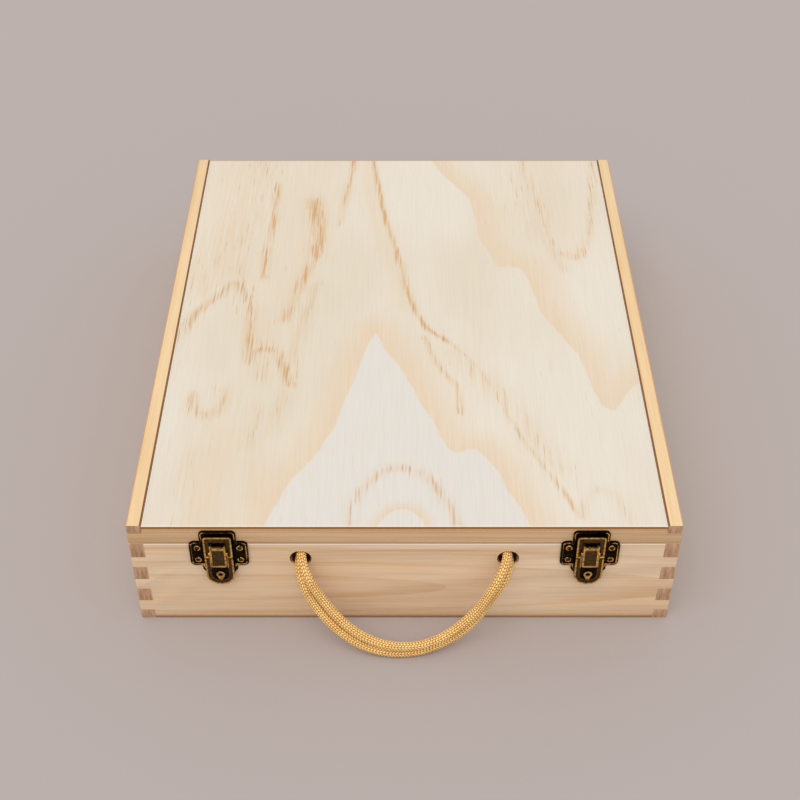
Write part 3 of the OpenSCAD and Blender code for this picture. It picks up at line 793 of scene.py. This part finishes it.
def figure_attributes(mesh):
    """Writes where the flame figure lies onto the panel's points, in millimetres and shares."""
    places = np.empty(len(mesh.vertices) * 3)
    mesh.vertices.foreach_get("co", places)
    points = places.reshape(-1, 3)[:, :2] / MM
    edges = []
    for _, corners, tan_side, curve in TAN_EDGES:
        outline = np.concatenate([smooth_line(curve, FIGURE_STEP), np.reshape(corners, (-1, 2))])
        inside = within(points, outline)
        tan = inside if tan_side == "inside" else ~inside
        edges.append(distance_to(points, curve) * np.where(tan, 1, -1))
    edges = np.stack(edges, axis=1)
    combs = np.zeros(len(points))
    for strength, half_width, curve in COMBS:
        reach = distance_to(points, curve) / (COMB_SPREAD * half_width)
        combs = np.maximum(combs, strength * np.exp(-(reach**2)))
    smears = np.zeros(len(points))
    for strength, half_width, curve in SMEARS:
        smears += strength * np.exp(-((distance_to(points, curve) / half_width) ** 2))
    layer = mesh.attributes.new("tan_edges", "FLOAT_VECTOR", "POINT")
    layer.data.foreach_set("vector", edges.astype(np.float32).ravel())
    write_values(mesh, "combs", combs)
    write_values(mesh, "smears", smears)


def flame_veneer():
    """The top's veneer: cream and grey-white fields, tan flames and combs of brown dashes."""
    made = new_material("flame_veneer", Roughness=0.58, Specular_IOR_Level=0.35)
    place = place_of(made)
    fibres = grain_of(made, place, (1500, 30, 30))
    dashes = grain_of(made, place, (1050, 46, 46), roughness=0.55)
    wisps = grain_of(made, place, (620, 26, 26))
    wobble = grain_of(made, place, (420, 60, 60))
    clouds = grain_of(made, place, (14, 6, 6))
    edges = parts_of(made, attribute_of(made, "tan_edges", "Vector"))
    combs = attribute_of(made, "combs")

    # The flames: each is tan from its crisp edge on, and fades into the field behind it
    wobble_mm = product_of(made, math_of(made, "SUBTRACT", wobble, 0.5), 3.0)
    tan = attribute_of(made, "smears")
    tan = product_of(made, tan, step_of(made, clouds, 0.25, 0.65, 0.5, 1.0))
    for output, (fade, _, _, _) in zip(edges, TAN_EDGES):
        edge = math_of(made, "ADD", output, wobble_mm)
        inside = step_of(made, edge, -0.6, 0.8)
        fading = step_of(made, edge, 0.0, fade, 0.8, 0.0)
        tan = math_of(made, "ADD", tan, product_of(made, inside, fading))
    tan = math_of(made, "MULTIPLY", tan, step_of(made, wisps, 0.3, 0.65, 0.72, 1.08), clamp=True)

    # The fields: grey-white within the middle flame, and cream outside it
    outside_heart = step_of(made, edges[0], -0.4, 0.4)
    cream = mix_of(made, step_of(made, clouds, 0.3, 0.7), srgb(230, 217, 196), srgb(236, 226, 209))
    field = mix_of(made, outside_heart, srgb(231, 224, 214), cream)
    colour = mix_of(made, tan, field, srgb(234, 209, 177))

    # The combs: a soft tan ground with short brown dashes, which lie closer where it is stronger
    soft = math_of(made, "MULTIPLY", combs, step_of(made, wisps, 0.34, 0.66, 0.1, 0.6), clamp=True)
    colour = mix_of(made, soft, colour, srgb(226, 188, 140))
    threshold = math_of(made, "SUBTRACT", 0.73, product_of(made, combs, 0.28))
    dark = step_of(made, math_of(made, "SUBTRACT", dashes, threshold), -0.06, 0.2, 0.0, 0.85)
    colour = mix_of(made, dark, colour, srgb(212, 164, 108))
    colour = tinted(
        made, colour, fibres, (0.36, (0.975, 0.97, 0.96, 1)), (0.6, (1.01, 1.01, 1.01, 1))
    )

    # The arrises: a pale painted highlight in front and at the sides, and a brown band along the
    # back edge
    across, depth, _ = parts_of(made, place)
    across = math_of(made, "ABSOLUTE", across)
    _, (half_x, half_y, _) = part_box("top_panel")
    front = step_of(made, depth, -half_y + 0.4 * MM, -half_y + 1.0 * MM, 0.4, 0.0)
    sides = step_of(made, across, half_x - 0.9 * MM, half_x - 0.6 * MM)
    colour = mix_of(made, math_of(made, "MAXIMUM", front, sides), colour, srgb(252, 247, 238))
    back = step_of(made, depth, half_y - 1.0 * MM, half_y - 0.6 * MM)
    colour = mix_of(made, back, colour, srgb(206, 162, 112))
    return finish_material(made, colour, bumps=[(fibres, 0.03 * MM, 0.25)])


def plain_veneer():
    """The unseen faces' veneer: pale, with drawn-out waves of grain."""
    made = new_material("plain_veneer", Roughness=0.62, Specular_IOR_Level=0.3)
    place = place_of(made)
    waves = grain_of(made, place, (46, 4, 4))
    fibres = grain_of(made, place, (1900, 34, 34), detail=3, roughness=0.6)
    colour = ramp_of(
        made, waves, (0.36, srgb(236, 225, 205)), (0.5, srgb(231, 214, 186)),
        (0.62, srgb(238, 227, 208)),
    )
    colour = tinted(
        made, colour, fibres, (0.32, (0.92, 0.9, 0.87, 1)), (0.6, (1.02, 1.02, 1.02, 1))
    )
    return finish_material(made, colour, bumps=[(fibres, 0.04 * MM, 0.3)])


def ply_edge(name, back_height, face_height, inner, outer):
    """A panel's edge: pale plies at its back, then a dark face ply, from inner to outer colour."""
    made = new_material(name, Roughness=0.7, Specular_IOR_Level=0.3)
    place = place_of(made)
    _, _, height = parts_of(made, place)
    share = add_node(made, "MapRange", {0: height, 1: back_height, 2: face_height}).outputs[0]
    fibres = grain_of(made, place, (500, 500, 2600), detail=3, roughness=0.6)
    plies = ramp_of(
        made, math_of(made, "ADD", share, product_of(made, fibres, 0.04)),
        (0.0, srgb(228, 190, 146)), (0.24, srgb(226, 186, 142)), (0.28, srgb(200, 150, 100)),
        (0.34, srgb(222, 180, 136)), (0.5, srgb(222, 180, 136)), (0.56, inner),
        (0.93, outer), (1.0, srgb(206, 160, 108)),
    )
    colour = tinted(
        made, plies, fibres, (0.3, (0.86, 0.84, 0.8, 1)), (0.65, (1.05, 1.05, 1.05, 1))
    )
    return finish_material(made, colour, bumps=[(fibres, 0.06 * MM, 0.3)])


def top_board():
    """The top panel, from a fine grid that carries the figure, with a rounded arris."""
    low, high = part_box("top_panel")
    half_x = high[0] - PANEL_PLAY
    half_y = high[1]
    middle = (0, 0, high[2])
    reached = (half_x - PANEL_ARRIS, half_y - PANEL_ARRIS)
    bpy.ops.object.select_all(action="DESELECT")
    bpy.ops.mesh.primitive_grid_add(
        x_subdivisions=round(2 * half_x / GRID_STEP), y_subdivisions=round(2 * half_y / GRID_STEP),
        size=2, location=middle,
    )
    panel = bpy.context.active_object
    panel.name = "top_board"
    bpy.ops.object.mode_set(mode="EDIT")
    bpy.ops.mesh.select_all(action="SELECT")
    bpy.ops.transform.resize(value=(*reached, 1), center_override=middle)
    bpy.ops.mesh.region_to_loop()

    # The outline goes over the arris in two steps, and then straight down to the underside
    depth = 0.0
    for short_of, down in (
        (0.45 * PANEL_ARRIS, PANEL_ARRIS * 4 / 15), (0, PANEL_ARRIS), (0, high[2] - low[2])
    ):
        target = (half_x - short_of, half_y - short_of)
        bpy.ops.mesh.extrude_edges_move(TRANSFORM_OT_translate={"value": (0, 0, depth - down)})
        bpy.ops.transform.resize(
            value=(target[0] / reached[0], target[1] / reached[1], 1), center_override=middle
        )
        reached = target
        depth = down
    bpy.ops.mesh.edge_face_add()
    bpy.ops.mesh.select_all(action="SELECT")
    bpy.ops.mesh.normals_make_consistent(inside=False)
    bpy.ops.object.mode_set(mode="OBJECT")
    bpy.ops.object.transform_apply(location=True, rotation=True, scale=True)
    figure_attributes(panel.data)
    plies = ply_edge("top_ply_edge", low[2], high[2], srgb(176, 116, 56), srgb(168, 106, 46))
    for material in (flame_veneer(), plies, plain_veneer()):
        panel.data.materials.append(material)
    for face in panel.data.polygons:
        if face.normal.z < -0.5:
            face.material_index = UNDERSIDE
        elif face.normal.z < 0.5:
            face.material_index = PLIES
    bpy.ops.object.shade_smooth_by_angle(angle=SHARP)
    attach(panel, "lid")
    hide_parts("top_panel")


def bottom_board():
    """The bottom panel, whose edge is flush with the walls."""
    low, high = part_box("bottom_panel")
    panel = bench_copy("bottom_panel", "bottom_board")
    ease(panel, lambda middle, edge: BOTTOM_EASE, BASE_SAW_EASE)
    plies = ply_edge("bottom_ply_edge", high[2], low[2], srgb(190, 150, 112), srgb(150, 118, 92))
    for material in (bpy.data.materials["plain_veneer"], plies):
        panel.data.materials.append(material)
    for face in panel.data.polygons:
        if abs(face.normal.z) < 0.5:
            face.material_index = PLIES
    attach(panel, "base")
    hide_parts("bottom_panel")


top_board()
bottom_board()


# ---- Latches and hinges ----
# Stamped steel with an antique brass finish: nearly black in the hollows, and rubbed to bright
# brass on the rims, the rings and the bent edges. Small nails hold the plates. The lever turns on
# a pin in the bridge, and the hook on two short pins in the lever.
METAL_SEGMENTS = 3
ON_WOOD = 0.05 * MM

# How far in from a plate's outline the painted shade reaches, and over what it fades, in
# millimetres
OUTLINE = 0.5
OUTLINE_FADE = 0.12

BLACK = srgb(34, 23, 13)
UMBER = srgb(98, 80, 50)
DULL_BRASS = srgb(176, 128, 62)
BRASS = srgb(250, 200, 112)
PALE_BRASS = srgb(255, 228, 156)


def antique_brass(name, face_y, *stops):
    """Patina by how far the metal stands out from face_y: the stops are (millimetres, colour)."""
    made = new_material(name, Metallic=1.0)
    place = place_of(made)
    _, depth, _ = parts_of(made, place)
    outwards = math.copysign(1 / MM, face_y)
    out_mm = product_of(made, math_of(made, "SUBTRACT", depth, face_y), outwards)
    blotches = noise_of(made, place, 700, 3, 0.6)
    grit = noise_of(made, place, 3200, 2, 0.6)
    low, high = stops[0][0], stops[-1][0]
    share = product_of(made, math_of(made, "SUBTRACT", out_mm, low), 1 / (high - low))
    unrest = product_of(made, math_of(made, "SUBTRACT", blotches, 0.5), 0.22)
    share = math_of(made, "ADD", share, unrest, clamp=True)
    colour = ramp_of(made, share, *[((at - low) / (high - low), shade) for at, shade in stops])
    colour = tinted(
        made, colour, blotches, (0.34, (0.42, 0.36, 0.3, 1)), (0.62, (1.1, 1.08, 1.02, 1))
    )
    roughness = step_of(made, share, 0.0, 1.0, 0.48, 0.3)
    return finish_material(made, colour, roughness, bumps=[(grit, 0.03 * MM, 0.3)])


front_face = -back_out
plate_brass = antique_brass(
    "plate_brass", front_face, (0.6, BLACK), (1.09, BLACK), (1.15, DULL_BRASS), (1.2, BRASS)
)
tongue_brass = antique_brass(
    "tongue_brass", front_face, (2.8, BLACK), (2.92, BLACK), (3.05, UMBER), (3.2, UMBER),
    (3.5, BRASS),
)
bridge_brass = antique_brass(
    "bridge_brass", front_face, (4.0, PALE_BRASS), (4.5, PALE_BRASS), (4.68, UMBER), (4.78, UMBER),
    (5.0, BRASS),
)
nail_brass = antique_brass("nail_brass", front_face, (0.6, BLACK), (1.6, UMBER), (2.2, BRASS))
pin_brass = antique_brass("pin_brass", front_face, (1.0, BLACK), (3.6, UMBER))
hinge_brass = antique_brass("hinge_brass", back_out, (0.8, BLACK), (1.3, UMBER), (3.9, BRASS))
hinge_nail_brass = antique_brass("hinge_nail_brass", back_out, (0.8, BLACK), (1.5, BRASS))


def outline_of(mesh):
    """The edges of a plate's back, which lies on the wood, as their two ends in X and Z."""
    places = np.array([vert.co for vert in mesh.vertices])
    ends = np.array([edge.vertices[:] for edge in mesh.edges])
    on_wood = np.abs(places[:, 1] - front_face) < ON_WOOD
    ends = ends[on_wood[ends].all(axis=1)]
    return places[ends][:, :, [0, 2]]


def mark_outline(mesh, outline):
    """Writes how far each point lies from the plate's outline, in millimetres, onto the mesh."""
    places = np.array([vert.co for vert in mesh.vertices])[:, [0, 2]]
    write_values(mesh, "from_outline", nearest_of(places, outline) / MM)


def outline_shade(made):
    """Paints shade onto a plate's brass next to its outline, on the rim's outer slope, so that
    only the rim's inner side is bright.
    """
    surface = made.node_tree.nodes["Principled BSDF"]
    brass = surface.inputs["Base Color"].links[0].from_socket
    near = step_of(
        made, attribute_of(made, "from_outline"), OUTLINE - OUTLINE_FADE, OUTLINE + OUTLINE_FADE,
        1.0, 0.0,
    )
    made.node_tree.links.new(mix_of(made, near, brass, BLACK), surface.inputs["Base Color"])


def metal_piece(node_name, body, material, eased):
    """A piece of a latch or hinge, with its edges eased by the same width all round."""
    piece = bench_copy(node_name, node_name + "_metal")
    outline = outline_of(piece.data)
    ease(piece, lambda middle, edge: eased, eased, METAL_SEGMENTS)
    if material == plate_brass:
        mark_outline(piece.data, outline)
    piece.data.materials.append(material)
    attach(piece, body)
    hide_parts(node_name)


# Painted shade along each plate's outline, where the rims slope outwards and down
outline_shade(plate_brass)
for side in ("left", "right"):
    metal_piece(f"{side}_latch_plate", "base", plate_brass, 0.3 * MM)
    metal_piece(f"{side}_latch_keeper", "lid", plate_brass, 0.3 * MM)
    metal_piece(f"{side}_latch_lever", f"{side}_lever", tongue_brass, 0.25 * MM)
    metal_piece(f"{side}_latch_hook", f"{side}_hook", tongue_brass, 0.25 * MM)
    metal_piece(f"{side}_latch_bridge", "base", bridge_brass, 0.45 * MM)
    metal_piece(f"{side}_lever_pin", "base", pin_brass, 0.15 * MM)
    metal_piece(f"{side}_hook_pins", f"{side}_lever", pin_brass, 0.1 * MM)
    metal_piece(f"{side}_plate_nails", "base", nail_brass, 0.2 * MM)
    metal_piece(f"{side}_keeper_nails", "lid", nail_brass, 0.2 * MM)
    metal_piece(f"{side}_hinge_base_leaf", "base", hinge_brass, 0.2 * MM)
    metal_piece(f"{side}_hinge_lid_leaf", "lid", hinge_brass, 0.2 * MM)
    metal_piece(f"{side}_hinge_pin", "base", hinge_brass, 0.2 * MM)
    metal_piece(f"{side}_hinge_base_nails", "base", hinge_nail_brass, 0.2 * MM)
    metal_piece(f"{side}_hinge_lid_nails", "lid", hinge_nail_brass, 0.2 * MM)


# ---- Studio ----
# A plain pale floor under an even white sky, with one wide, soft lamp above and in front. Where
# the sky itself is seen, also in metal, it has the floor's colour.
FLOOR_SIZE = 12
FLOOR_COLOUR = srgb(187, 176, 172)
SKY_STRENGTH = 0.74
SUN_STRENGTH = 0.95
SUN_ANGLE = math.radians(50)
SUN_TURN = (math.radians(24), math.radians(-8), 0)

bpy.ops.object.select_all(action="DESELECT")
bpy.ops.mesh.primitive_plane_add(size=FLOOR_SIZE, location=(0, 0, 0))
floor = bpy.context.active_object
floor.name = "floor"
floor_paper = new_material(
    "floor_paper", Base_Color=FLOOR_COLOUR, Roughness=1.0, Specular_IOR_Level=0.0
)
floor.data.materials.append(floor_paper)

sun_data = bpy.data.lights.new("sun", "SUN")
sun_data.energy = SUN_STRENGTH
sun_data.angle = SUN_ANGLE
sun = bpy.data.objects.new("sun", sun_data)
sun.rotation_euler = SUN_TURN
bpy.context.scene.collection.objects.link(sun)

sky = bpy.data.worlds.new("sky")
sky.use_nodes = True
ray = add_node(sky, "LightPath", {}).outputs
seen = ray["Is Camera Ray"]
for kind in ("Is Glossy Ray", "Is Transmission Ray"):
    seen = math_of(sky, "MAXIMUM", seen, ray[kind])
sky_colour = mix_of(sky, seen, (SKY_STRENGTH, SKY_STRENGTH, SKY_STRENGTH, 1), FLOOR_COLOUR)
sky.node_tree.links.new(sky_colour, sky.node_tree.nodes["Background"].inputs["Color"])
bpy.context.scene.world = sky
